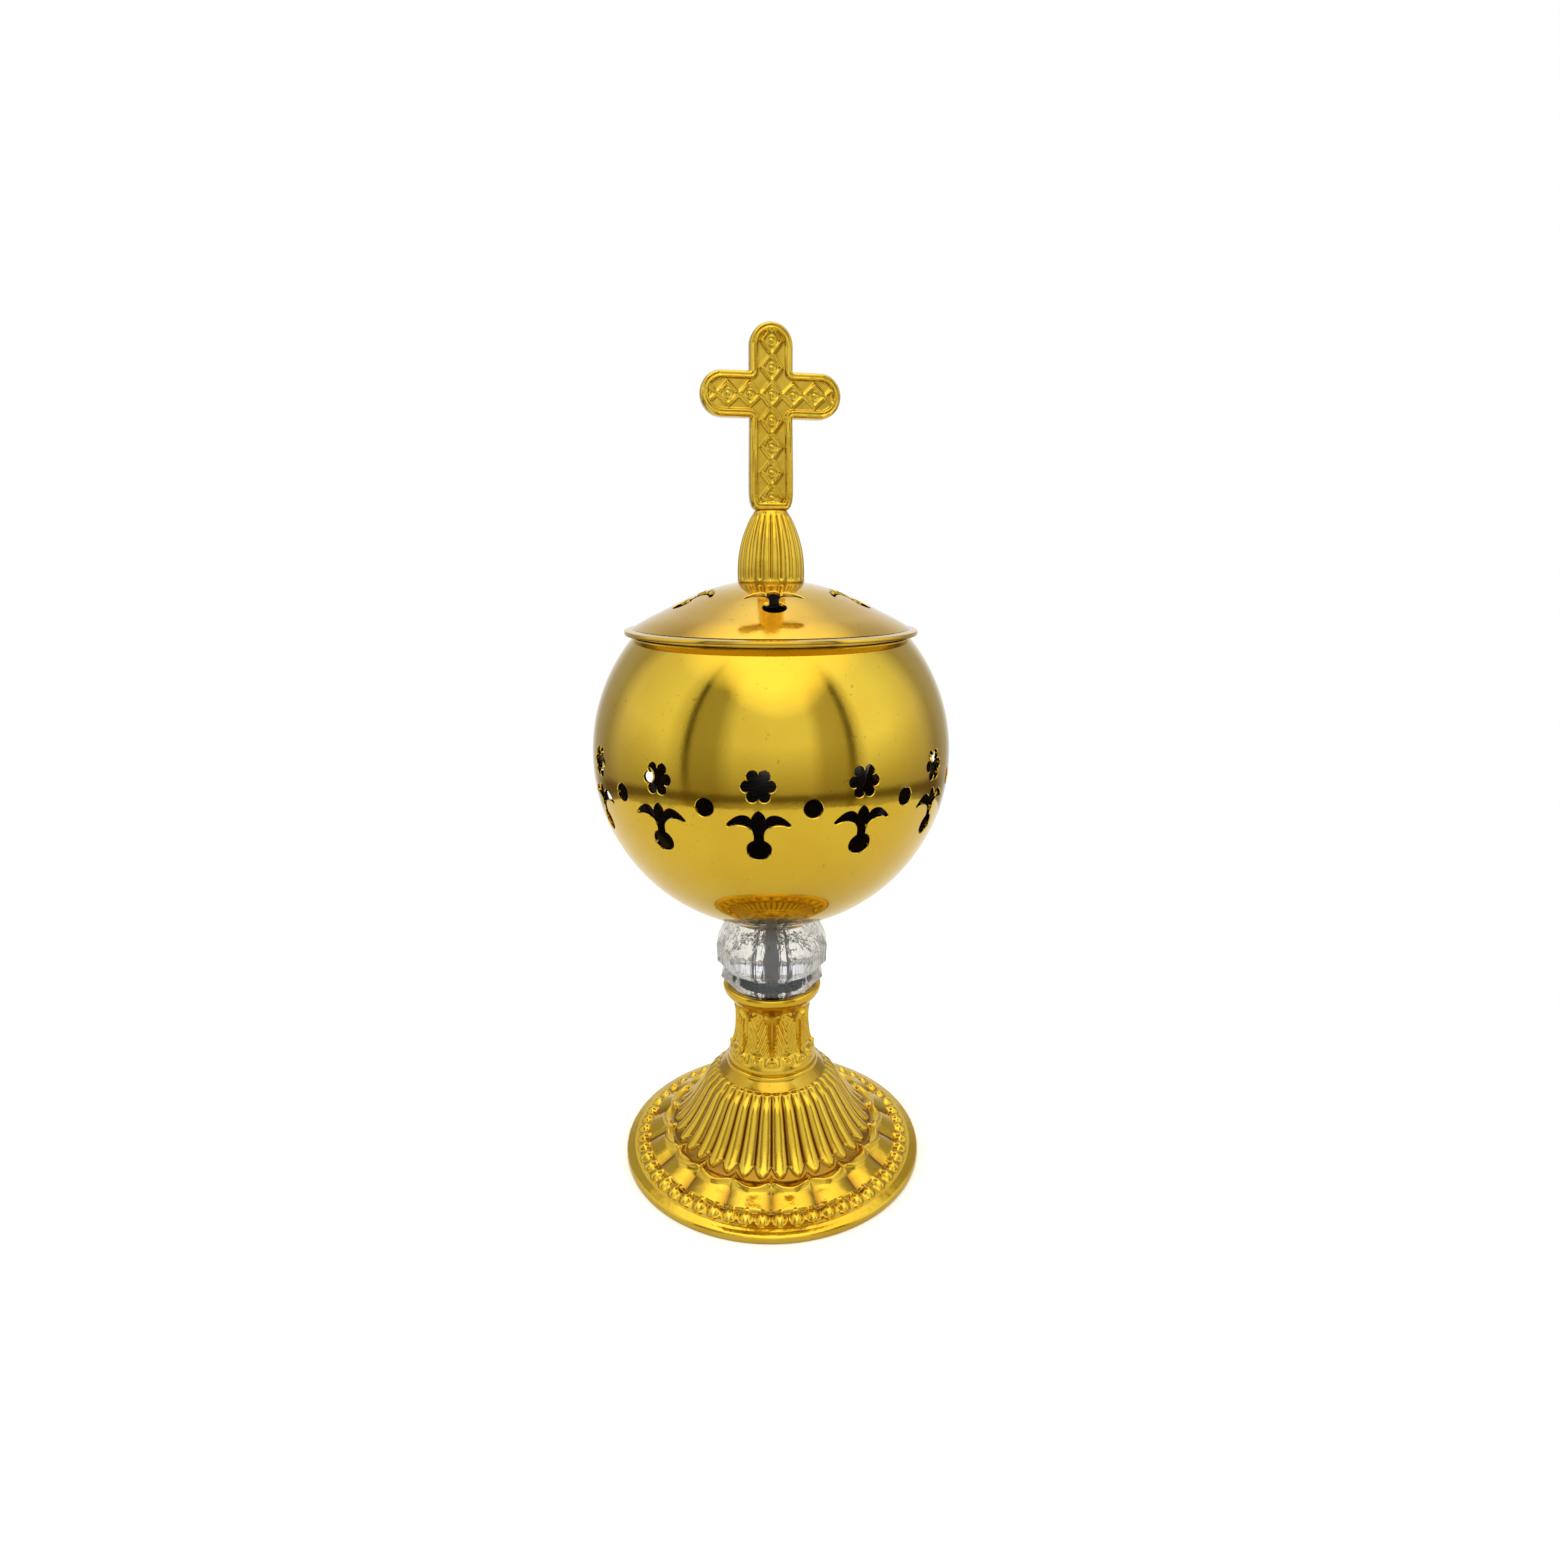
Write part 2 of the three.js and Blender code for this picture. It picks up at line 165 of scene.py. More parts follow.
def grown(outline, distance):
    """The closed counterclockwise outline moved outwards by a distance."""
    before = outline - np.roll(outline, 1, axis=0)
    after = np.roll(outline, -1, axis=0) - outline
    tangent = before / np.linalg.norm(before, axis=1)[:, None]
    tangent += after / np.linalg.norm(after, axis=1)[:, None]
    tangent /= np.linalg.norm(tangent, axis=1)[:, None]
    return outline + distance * np.column_stack([tangent[:, 1], -tangent[:, 0]])


def inside(points, outline):
    """Which points lie inside the closed outline."""
    x, y = points[:, 0][:, None], points[:, 1][:, None]
    x1, y1 = outline[:, 0], outline[:, 1]
    x2, y2 = np.roll(x1, -1), np.roll(y1, -1)
    crosses = (y1 > y) != (y2 > y)
    with np.errstate(divide="ignore", invalid="ignore"):
        at = x1 + (y - y1) * (x2 - x1) / (y2 - y1)
    return (crosses & (x < at)).sum(axis=1) % 2 == 1


def distance_to(points, outline):
    """Each point's distance to the closed outline."""
    a = outline
    b = np.roll(outline, -1, axis=0)
    best = np.full(len(points), 1e9)
    for p, q in zip(a, b):
        along = q - p
        t = np.clip(((points - p) @ along) / max(along @ along, 1e-12), 0, 1)
        gap = np.linalg.norm(points - (p + t[:, None] * along), axis=1)
        best = np.minimum(best, gap)
    return best


def spun(points, turn):
    """The points turned about the axis, in radians from the front towards +X."""
    c, s = math.cos(turn), math.sin(turn)
    return points @ np.array([[c, s, 0], [-s, c, 0], [0, 0, 1]])


# ---- Meshes ----


def make_piece(name, points, faces, look, body, nodes, sharp=40, relief=None, lining=None):
    """A mesh piece from points in millimetres that rides on a body and replaces CAD nodes.
    lining is (look, test): faces whose centres pass the test get that second look."""
    mesh = bpy.data.meshes.new(name)
    mesh.from_pydata([tuple(p) for p in np.asarray(points) * MM], [], faces)
    if relief is not None:
        field = mesh.attributes.new("relief", "FLOAT", "POINT")
        field.data.foreach_set("value", np.asarray(relief, np.float32))
    work = bmesh.new()
    work.from_mesh(mesh)
    bmesh.ops.remove_doubles(work, verts=work.verts, dist=0.004 * MM)
    bmesh.ops.recalc_face_normals(work, faces=work.faces)
    work.to_mesh(mesh)
    work.free()
    mesh.shade_smooth()
    mesh.set_sharp_from_angle(angle=math.radians(sharp))
    mesh.materials.append(look)
    if lining is not None:
        mesh.materials.append(lining[0])
        centres = np.zeros(3 * len(mesh.polygons))
        mesh.polygons.foreach_get("center", centres)
        hidden = lining[1](centres.reshape(-1, 3) / MM)
        mesh.polygons.foreach_set("material_index", hidden.astype(np.int32))
    piece = bpy.data.objects.new(name, mesh)
    bpy.context.scene.collection.objects.link(piece)
    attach(piece, body)
    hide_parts(*nodes)
    return piece


def turned(outline, segments, relief=None, closed=True):
    """Points, faces and relief heights of an outline of (radius, height) turned about the axis."""
    rows = np.array(outline, float)
    phi = np.arange(segments) * 2 * math.pi / segments
    ahead, behind = np.roll(rows, -1, axis=0), np.roll(rows, 1, axis=0)
    if not closed:
        ahead[-1], behind[0] = rows[-1], rows[0]
    tangent = ahead - behind
    tangent /= np.maximum(np.linalg.norm(tangent, axis=1), 1e-9)[:, None]
    normal = np.column_stack([tangent[:, 1], -tangent[:, 0]])
    r = np.repeat(rows[:, :1], segments, axis=1)
    z = np.repeat(rows[:, 1:], segments, axis=1)
    height = np.zeros_like(r)
    if relief is not None:
        height = relief(r, z, np.repeat(phi[None, :], len(rows), axis=0), normal[:, :1], normal[:, 1:])
        r = r + normal[:, :1] * height
        z = z + normal[:, 1:] * height
    points = np.stack([r * np.sin(phi), -r * np.cos(phi), z], axis=2).reshape(-1, 3)
    faces = []
    last = len(rows) if closed else len(rows) - 1
    for i in range(last):
        a, b = i * segments, ((i + 1) % len(rows)) * segments
        for j in range(segments):
            k = (j + 1) % segments
            faces.append((a + j, a + k, b + k, b + j))
    return points, faces, height.reshape(-1)


def turned_piece(name, outline, segments, look, body, nodes, relief=None, sharp=40):
    """A closed outline turned about the axis as one piece."""
    points, faces, height = turned(outline, segments, relief)
    return make_piece(name, points, faces, look, body, nodes, sharp, height)


def pierced_sheet(edge, grid, holes, outer, inner, lip=0.14, keep=0.5, smallest=0.00005):
    """A sheet with holes: edge is its closed outline, grid its inner points, holes its openings,
    and outer and inner place plane points on its two faces at a depth below them. The rim of a
    hole is eased by lip, grid points stay keep away from it, and triangles whose area isn't over
    smallest, as along a straight edge, are left out."""
    grid = np.array(grid)
    for hole in holes:
        free = ~inside(grid, hole) & (distance_to(grid, hole) > keep)
        grid = grid[free]
    wide = [grown(hole, lip) for hole in holes]
    loops = [np.array(edge), *wide]
    coords, edges = [], []
    for loop in loops:
        start = len(coords)
        coords += [Vector(p) for p in loop]
        edges += [(start + i, start + (i + 1) % len(loop)) for i in range(len(loop))]
    coords += [Vector(p) for p in grid]
    made, _, tris, _, _, _ = delaunay_2d_cdt(coords, edges, [], 0, 1e-6)
    plane = np.array([tuple(p) for p in made])
    tris = np.array(tris)
    middle = plane[tris].mean(axis=1)
    kept = inside(middle, np.array(edge))
    for hole in wide:
        kept &= ~inside(middle, hole)
    first = plane[tris[:, 1]] - plane[tris[:, 0]]
    second = plane[tris[:, 2]] - plane[tris[:, 0]]
    kept &= np.abs(first[:, 0] * second[:, 1] - first[:, 1] * second[:, 0]) > 2 * smallest
    tris = tris[kept]
    points = [outer(plane, 0.0), inner(plane, 0.0)]
    count = len(plane)
    faces = [tuple(t) for t in tris] + [tuple(t[::-1] + count) for t in tris]
    at = 2 * count
    for hole, big in zip(holes, wide):
        n = len(hole)
        rings = [outer(big, 0.0), outer(hole, lip), inner(hole, lip), inner(big, 0.0)]
        points += rings
        for k in range(3):
            for i in range(n):
                j = (i + 1) % n
                low, high = at + k * n, at + (k + 1) * n
                faces.append((low + i, low + j, high + j, high + i))
        at += 4 * n
    return np.vstack(points), faces


def copies(points, faces, count):
    """The points and faces repeated round the axis."""
    all_points, all_faces = [], []
    for i in range(count):
        all_points.append(spun(points, 2 * math.pi * i / count))
        shift = i * len(points)
        all_faces += [tuple(int(v) + shift for v in face) for face in faces]
    return np.vstack(all_points), all_faces


def joined(*parts):
    """Several (points, faces) pairs as one."""
    points, faces = [], []
    for part_points, part_faces in parts:
        shift = sum(len(p) for p in points)
        points.append(np.asarray(part_points))
        faces += [tuple(int(v) + shift for v in face) for face in part_faces]
    return np.vstack(points), faces


def band(x, low, high, soft):
    """1 between low and high, fading to 0 over soft on both sides."""
    rise = np.clip((x - low) / soft + 0.5, 0, 1)
    fall = np.clip((high - x) / soft + 0.5, 0, 1)
    return (rise * rise * (3 - 2 * rise)) * (fall * fall * (3 - 2 * fall))


def ridge(distance, width):
    """A rounded ridge of height 1 at distance 0."""
    return np.exp(-((distance / width) ** 2))


# ---- Materials ----


def new_look(name):
    look = bpy.data.materials.new(name)
    look.use_nodes = True
    return look, look.node_tree.nodes, look.node_tree.links, look.node_tree.nodes["Principled BSDF"]


def noise(nodes, links, scale, detail, coords):
    node = nodes.new("ShaderNodeTexNoise")
    node.inputs["Scale"].default_value = scale
    node.inputs["Detail"].default_value = detail
    links.new(coords, node.inputs["Vector"])
    return node.outputs["Fac"]


def ramp(nodes, links, value, low, high, out_low, out_high):
    """The value's share of the way from low to high, spread over out_low to out_high and clamped."""
    node = nodes.new("ShaderNodeMapRange")
    limits = {"From Min": low, "From Max": high, "To Min": out_low, "To Max": out_high}
    for socket, number in limits.items():
        node.inputs[socket].default_value = number
    links.new(value, node.inputs["Value"])
    return node.outputs["Result"]


def times(nodes, links, first, second):
    node = nodes.new("ShaderNodeMath")
    node.operation = "MULTIPLY"
    links.new(first, node.inputs[0])
    links.new(second, node.inputs[1])
    return node.outputs[0]


# Numbers of the colour sockets of Blender's Mix node.
MIX_A = 6
MIX_B = 7
MIX_RESULT = 2


def blend_colour(nodes, links, factor, first, second):
    """From the first colour to the second by the factor; either is a tuple or a socket."""
    node = nodes.new("ShaderNodeMix")
    node.data_type = "RGBA"
    links.new(factor, node.inputs["Factor"])
    for place, colour in ((MIX_A, first), (MIX_B, second)):
        if isinstance(colour, tuple):
            node.inputs[place].default_value = (*colour, 1)
        else:
            links.new(colour, node.inputs[place])
    return node.outputs[MIX_RESULT]


def bump(nodes, links, height, strength, distance, below=None):
    """The normal of a surface roughened by the height, on top of the bump below it."""
    node = nodes.new("ShaderNodeBump")
    node.inputs["Strength"].default_value = strength
    node.inputs["Distance"].default_value = distance
    links.new(height, node.inputs["Height"])
    if below is not None:
        links.new(below, node.inputs["Normal"])
    return node.outputs["Normal"]


def metal(name, bright, warm, rough, grain, depth, recess_shade=None, waves=0.1, wave_scale=60):
    """Metal with clouded colour, uneven polish, a fine grain of some depth and slow waves in its
    surface; the optional dark colour is a painted shade laid in the recesses of its relief."""
    look, nodes, links, shader = new_look(name)
    coords = nodes.new("ShaderNodeTexCoord").outputs["Object"]
    cloud = noise(nodes, links, 70, 3, coords)
    colour = blend_colour(nodes, links, ramp(nodes, links, cloud, 0.35, 0.7, 0, 1), bright, warm)
    specks = ramp(nodes, links, noise(nodes, links, 900, 2, coords), 0.69, 0.76, 0, 0.45)
    colour = blend_colour(nodes, links, specks, colour, tuple(0.35 * c for c in warm))
    if recess_shade is not None:
        # Painted shade: the lower the relief, the more the dark colour covers the base colour.
        field = nodes.new("ShaderNodeAttribute")
        field.attribute_name = "relief"
        low = ramp(nodes, links, field.outputs["Fac"], -1.0, -0.3, 0.85, 0)
        colour = blend_colour(nodes, links, low, colour, recess_shade)
    links.new(colour, shader.inputs["Base Color"])
    shader.inputs["Metallic"].default_value = 1.0
    shader.inputs["Coat Weight"].default_value = 0.2
    shader.inputs["Coat Roughness"].default_value = 0.05
    polish = ramp(nodes, links, noise(nodes, links, 260, 3, coords), 0.3, 0.7, rough * 0.75, rough * 1.35)
    links.new(polish, shader.inputs["Roughness"])
    slow = bump(nodes, links, noise(nodes, links, wave_scale, 1, coords), waves, 0.0005)
    fine = bump(nodes, links, noise(nodes, links, grain, 4, coords), depth, 0.0001, slow)
    links.new(fine, shader.inputs["Normal"])
    return look


def spun_steel(name):
    """Steel with fine turning rings."""
    look, nodes, links, shader = new_look(name)
    coords = nodes.new("ShaderNodeTexCoord").outputs["Object"]
    rings = nodes.new("ShaderNodeTexWave")
    rings.wave_type = "BANDS"
    rings.bands_direction = "Z"
    rings.inputs["Scale"].default_value = 900
    rings.inputs["Distortion"].default_value = 1.5
    links.new(coords, rings.inputs["Vector"])
    cloud = noise(nodes, links, 90, 3, coords)
    tint = blend_colour(nodes, links, cloud, (0.5, 0.51, 0.53), (0.3, 0.3, 0.31))
    links.new(tint, shader.inputs["Base Color"])
    shader.inputs["Metallic"].default_value = 1.0
    links.new(ramp(nodes, links, rings.outputs["Fac"], 0, 1, 0.24, 0.36), shader.inputs["Roughness"])
    links.new(bump(nodes, links, rings.outputs["Fac"], 0.15, 0.00005), shader.inputs["Normal"])
    return look


def cut_glass(name):
    """Slightly cloudy moulded crystal with upright striae."""
    look, nodes, links, shader = new_look(name)
    coords = nodes.new("ShaderNodeTexCoord").outputs["Object"]
    stretch = nodes.new("ShaderNodeMapping")
    stretch.inputs["Scale"].default_value = (1, 1, 0.08)
    links.new(coords, stretch.inputs["Vector"])
    striae = noise(nodes, links, 950, 2, stretch.outputs["Vector"])
    cloudy = ramp(nodes, links, striae, 0.35, 0.7, 0, 1)
    tint = blend_colour(nodes, links, cloudy, (0.98, 0.985, 0.99), (0.92, 0.935, 0.95))
    links.new(tint, shader.inputs["Base Color"])
    shader.inputs["Transmission Weight"].default_value = 0.96
    shader.inputs["IOR"].default_value = 1.48
    links.new(ramp(nodes, links, striae, 0.3, 0.7, 0.0, 0.05), shader.inputs["Roughness"])
    links.new(bump(nodes, links, striae, 0.8, 0.0004), shader.inputs["Normal"])
    return look


def drilled_glass(name):
    """The rough grey wall of the drilled bore."""
    look, nodes, links, shader = new_look(name)
    coords = nodes.new("ShaderNodeTexCoord").outputs["Object"]
    cloud = noise(nodes, links, 900, 3, coords)
    tint = blend_colour(nodes, links, cloud, (0.16, 0.16, 0.175), (0.07, 0.07, 0.08))
    links.new(tint, shader.inputs["Base Color"])
    ground = ramp(nodes, links, noise(nodes, links, 1500, 2, coords), 0.3, 0.7, 0.35, 0.6)
    links.new(ground, shader.inputs["Roughness"])
    grain = noise(nodes, links, 2500, 3, coords)
    links.new(bump(nodes, links, grain, 0.5, 0.0001), shader.inputs["Normal"])
    return look


def milky_nylon(name):
    """Cloudy plastic that lets some light through."""
    look, nodes, links, shader = new_look(name)
    coords = nodes.new("ShaderNodeTexCoord").outputs["Object"]
    cloud = noise(nodes, links, 200, 3, coords)
    tint = blend_colour(nodes, links, cloud, (0.8, 0.8, 0.78), (0.7, 0.7, 0.67))
    links.new(tint, shader.inputs["Base Color"])
    satin = ramp(nodes, links, noise(nodes, links, 500, 3, coords), 0.3, 0.7, 0.4, 0.6)
    links.new(satin, shader.inputs["Roughness"])
    shader.inputs["Transmission Weight"].default_value = 0.4
    return look


GOLD = metal(
    "spun_gold",
    bright=(0.66, 0.45, 0.032),
    warm=(0.62, 0.395, 0.025),
    rough=0.075,
    grain=1400,
    depth=0.05,
    waves=0.14,
    wave_scale=55,
)
LID_GOLD = metal(
    "lid_gold",
    bright=(0.69, 0.44, 0.045),
    warm=(0.64, 0.385, 0.035),
    rough=0.1,
    grain=1400,
    depth=0.08,
)
CAST_GOLD = metal(
    "cast_gold",
    bright=(0.7, 0.47, 0.04),
    warm=(0.62, 0.38, 0.02),
    rough=0.12,
    grain=1100,
    depth=0.3,
    # Painted shade for the recesses of the cast relief.
    recess_shade=(0.24, 0.105, 0.006),
    waves=0.4,
    wave_scale=240,
)
# Near-black brass on the inside faces of the bowl and the lid: painted shade for the dark inside of the
# censer.
PAINTED_SHADE_BRASS = metal(
    "painted_shade_brass",
    bright=(0.09, 0.05, 0.015),
    warm=(0.05, 0.03, 0.012),
    rough=0.45,
    grain=900,
    depth=0.4,
)
STEEL = spun_steel("liner_steel")
ZINC = metal(
    "zinc_hardware",
    bright=(0.5, 0.5, 0.52),
    warm=(0.42, 0.42, 0.43),
    rough=0.3,
    grain=1500,
    depth=0.3,
)
GLASS = cut_glass("cut_crystal")
DRILLED = drilled_glass("drilled_bore")
NYLON = milky_nylon("clear_nylon")


# ---- Foot ----


def foot_relief(r, z, phi, nr, nz):
    """Flutes, scallops and beads on the upper face of the foot. Outwards from the neck: a collar
    groove, flutes with round ends, a scalloped ridge, swelling lobes, beads and a fine edge."""
    top = np.clip(nz * 4, 0, 1)
    flute = np.abs(np.sin(FOOT_FLUTES / 2 * phi))
    scallop = np.abs(np.sin(FOOT_SCALLOPS / 2 * phi))
    flute_end = 25.4 + 2.1 * flute
    depth = np.interp(r, [14, 18, 24], [0.55, 0.85, 1.0])
    flutes = depth * (flute**0.6 - 1) * band(r, 15.4, 40, 1.6) * (r < flute_end)
    ground = -0.8 * band(r, 25.4, 28.8, 0.8) * np.clip((r - flute_end) / 0.35, 0, 1)
    ridge_at = 28.2 + 1.9 * scallop**0.7
    line = 0.85 * ridge(r - ridge_at, 0.7)
    lobe = 1.1 * (scallop**0.8 - 0.75) * band(r, 30.4, 35.2, 2.0)
    gap = -0.35 * band(r, 34.9, 35.7, 0.8)
    spacing = 2 * math.pi / FOOT_BEADS
    around = (np.mod(phi, spacing) - spacing / 2) * 36.9
    dome = 1 - (around / 1.5) ** 2 - ((r - 36.4) / 1.75) ** 2
    bead = 1.25 * np.sqrt(np.clip(dome, 0, 1)) - 0.3 * band(r, 34.9, 38.1, 0.5)
    edge = -0.15 * band(r, 38.1, 38.6, 0.4)
    sunk = -0.25 * band(r, 15.4, 38, 2)
    # Its depth also lays the painted recess shade under the neck's ring.
    collar = -0.6 * band(r, 12.6, 15.2, 0.9)
    return (flutes + ground + line + lobe + gap + bead + edge + sunk + collar) * top


def foot():
    upper = [
        (38.6, 2.75),
        (36, 3.9),
        (33, 5.4),
        (30, 7.0),
        (27, 9.0),
        (24, 12.2),
        (21, 16.7),
        (18.5, 20.8),
        (16.5, 22.7),
        (15, 24.3),
        (13.6, 25.7),
        (12.5, 26.75),
    ]
    rim = [(38.5, 0), (39, 0), (40.6, 0), (40.9, 0.15), (41, 0.5), (41, 1.4), (40.85, 1.8), (40.4, 2.1)]
    top = [(12.2, FOOT_TOP_Z), (8, FOOT_TOP_Z), (HOLE_R + 0.1, FOOT_TOP_Z), (HOLE_R, FOOT_TOP_Z - 0.1)]
    under = [(HOLE_R, 22.6), (13.6, 22.6), (16, 20.2), (18.6, 15.8), (22.4, 10.2), (28, 5.2), (35, 1.9)]
    outline = rim + smooth_curve([(39.6, 2.3), *upper], 14) + top + under
    turned_piece("foot_cast", outline, 648, CAST_GOLD, "stand", ["foot"], foot_relief, 60)


# ---- Neck ----


def neck_relief(r, z, phi, nr, nz):
    """Lancet leaves with raised edges and veins, and a row of small lobes above the bottom ring."""
    out = np.clip(nr * 3, 0, 1)
    pitch = 2 * math.pi / NECK_LEAVES
    offset = math.radians(NECK_LEAF_AZ)
    across = (np.mod(phi - offset + pitch / 2, pitch) - pitch / 2) * 9.7
    heights = [29, 32, 34, 37, 41.2, 42.6, 43.8, 44.9]
    half = np.interp(z, heights, [3.7, 3.7, 3.3, 2.95, 2.9, 2.2, 1.3, 0.0])
    in_leaf = band(z, 30.6, 44.6, 0.5)
    edge = 0.62 * ridge(np.abs(across) - half, 0.38) * in_leaf
    vein = 0.45 * ridge(across, 0.32) * band(z, 33.5, 43.2, 1.2)
    barbs = 0.4 * ridge(np.mod(z / 3 - np.abs(across), 1.15) - 0.57, 0.24)
    barbs = barbs * band(z, 33, 42.5, 1) * (np.abs(across) < half - 0.4)
    ground = -0.75 * (np.abs(across) > half) * band(z, 31.5, 43.8, 0.8)
    small = (np.mod(phi - offset + pitch / 4, pitch / 2) - pitch / 4) * 11
    lobes = 0.55 * np.exp(-((small / 1.5) ** 4) - ((z - 30.6) / 0.95) ** 4)
    pits = -0.5 * np.exp(-((small / 0.45) ** 2) - ((z - 30.5) / 0.4) ** 2)
    return (edge + vein + barbs + ground + lobes + pits) * out


def neck():
    outside = smooth_curve(
        [
            (11.55, 29.5),
            (10.7, 31.2),
            (10.0, 33.2),
            (9.6, 36.5),
            (9.5, 40.6),
            (9.75, 42.8),
            (10.3, 44.2),
            (11.4, 45.6),
            (12.7, 47.2),
        ],
        12,
    )
    ring = [(7.5, FOOT_TOP_Z), (11.6, FOOT_TOP_Z), (11.9, 27.1), (12.1, 27.6), (12.1, 28.3)]
    ring += [(11.95, 28.9), (11.7, 29.3)]
    lip = [(13.1, 47.9), (13.3, 48.5), (13.3, 49.1), (13.15, 49.7), (12.8, 49.97), (12.3, 50.0)]
    lip += [(11.9, 49.7)]
    seat = [(11.3, 48.3), (10.6, NECK_SEAT_Z), (HOLE_R + 0.1, NECK_SEAT_Z), (HOLE_R, NECK_SEAT_Z - 0.1)]
    bore = [(HOLE_R, 45.5), (2.6, 45.4), (7.3, 43.5), (7.5, 43)]
    outline = ring + outside + lip + seat + bore
    turned_piece("neck_cast", outline, 480, CAST_GOLD, "stand", ["stem_sleeve"], neck_relief, 60)


# ---- Crystal knop ----


def crystal():
    """Twelve upright columns of flat facets, with a notch between the belt and the skirt."""
    bore_r = 2.4
    tiers = [(9.5, KNOP_BOTTOM_Z), (12.2, 50.2), (14.1, 52.4), (12.9, 54.8), (15.0, 57.0)]
    tiers += [(15.2, 61.8), (14.0, 64.4), (12.6, 66.6), (11.0, KNOP_TOP_Z)]
    outline = [(bore_r, KNOP_BOTTOM_Z), *tiers, (bore_r, KNOP_TOP_Z)]
    points, faces = turned(outline, KNOP_SIDES)[:2]
    points = spun(points, math.pi / KNOP_SIDES)

    def bored(centres):
        return np.hypot(centres[:, 0], centres[:, 1]) < bore_r + 0.2

    lining = (DRILLED, bored)
    bead = make_piece("crystal_bead", points, faces, GLASS, "stand", ["crystal_knop"], 5, lining=lining)


# ---- Rod and small washers of the stem ----


def thread(r, z, phi, nr, nz):
    """An M4 thread of 0.7 mm pitch."""
    turn = np.mod(z / 0.7 - phi / (2 * math.pi), 1.0)
    return -0.35 * np.abs(2 * turn - 1) * (r > 1.9) * (nr > 0.9)


def rod(name, low, high, body, nodes):
    """A threaded rod with plain ends."""
    rows = int((high - low) / 0.09)
    side = [(2.0, z) for z in np.linspace(low + 0.3, high - 0.3, rows)]
    outline = [(0.001, low), (1.7, low), *side, (1.7, high), (0.001, high)]
    turned_piece(name, outline, 24, ZINC, body, nodes, thread, 60)


def washer(name, inner, outer, low, high, look, body, node):
    """A flat ring with eased edges."""
    outline = rounded([(inner, low), (outer, low), (outer, high), (inner, high)], 0.2)
    return turned_piece(name, outline, 96, look, body, [node])


# ---- Bowl ----


def on_bowl(plane, radius):
    """Points of the bowl's plane map (azimuth and latitude as arc lengths) on a sphere."""
    az, lat = plane[:, 0] / BOWL_R, plane[:, 1] / BOWL_R
    r = radius * np.cos(lat)
    return np.column_stack([r * np.sin(az), -r * np.cos(az), BOWL_CENTRE_Z + radius * np.sin(lat)])


def bowl_map(outline, az, v):
    """An outline in surface millimetres about an azimuth and a height v, as plane-map points."""
    lat = (outline[:, 1] + v) / BOWL_R
    x = math.radians(az) * BOWL_R + outline[:, 0] / np.cos(lat)
    return np.column_stack([x, outline[:, 1] + v])


def bowl():
    """The globe with its twelve columns of openings, a rounded mouth and a flat base."""
    inner_r = BOWL_R - BOWL_WALL
    base_z = BOWL_CENTRE_Z - math.sqrt(BOWL_R**2 - BOWL_BASE_R**2)
    low = BOWL_R * math.asin((base_z - BOWL_CENTRE_Z) / BOWL_R)
    high = BOWL_R * math.asin((BOWL_MOUTH_Z - 0.4 - BOWL_CENTRE_Z) / BOWL_R)
    rows = np.linspace(low, high, 84)
    scale = math.radians(1) * BOWL_R
    columns = np.linspace(ROSETTE_AZ - 19.4, ROSETTE_AZ + 10.6, 23) * scale
    edge = [(x, rows[0]) for x in columns]
    edge += [(columns[-1], v) for v in rows[1:]]
    edge += [(x, rows[-1]) for x in columns[-2::-1]]
    edge += [(columns[0], v) for v in rows[-2:0:-1]]
    grid = [(x, v) for x in columns[1:-1] for v in rows[1:-1]]
    holes = [
        bowl_map(rosette_outline(), ROSETTE_AZ, ROSETTE_V),
        bowl_map(disc_outline(2.1), ROSETTE_AZ - 15, DOT_V),
        bowl_map(fleur_outline(), ROSETTE_AZ, FLEUR_V),
    ]

    def outer(plane, depth):
        return on_bowl(plane, BOWL_R - depth)

    def inner(plane, depth):
        return on_bowl(plane, inner_r + depth)

    sector = pierced_sheet(edge, grid, holes, outer, inner)
    shell = copies(*sector, BOWL_REPEATS)
    out_r = BOWL_R * math.cos(high / BOWL_R)
    in_r = inner_r * math.cos(high / BOWL_R)
    out_z = BOWL_CENTRE_Z + BOWL_R * math.sin(high / BOWL_R)
    in_z = BOWL_CENTRE_Z + inner_r * math.sin(high / BOWL_R)
    lip = [
        (out_r, out_z),
        (out_r - 0.1, BOWL_MOUTH_Z - 0.1),
        (out_r - 0.35, BOWL_MOUTH_Z),
        (in_r + 0.3, BOWL_MOUTH_Z),
        (in_r + 0.05, BOWL_MOUTH_Z - 0.2),
        (in_r, in_z),
    ]
    mouth = turned(lip, 264, closed=False)[:2]
    floor_z = base_z + BOWL_WALL
    disc_r = BOWL_BASE_R + 0.05
    disc = rounded([(HOLE_R, base_z), (disc_r, base_z), (disc_r, floor_z), (HOLE_R, floor_z)], 0.05)
    base = turned(disc, 96)[:2]
    points, faces = joined(shell, mouth, base)

    def within(centres):
        return np.linalg.norm(centres - (0, 0, BOWL_CENTRE_Z), axis=1) < BOWL_R - 0.75 * BOWL_WALL

    # Painted shade: the inside faces take the near-black brass.
    lining = (PAINTED_SHADE_BRASS, within)
    made = make_piece("bowl_pierced", points, faces, GOLD, "stand", ["bowl_shell"], 30, lining=lining)


# ---- Ember cup ----


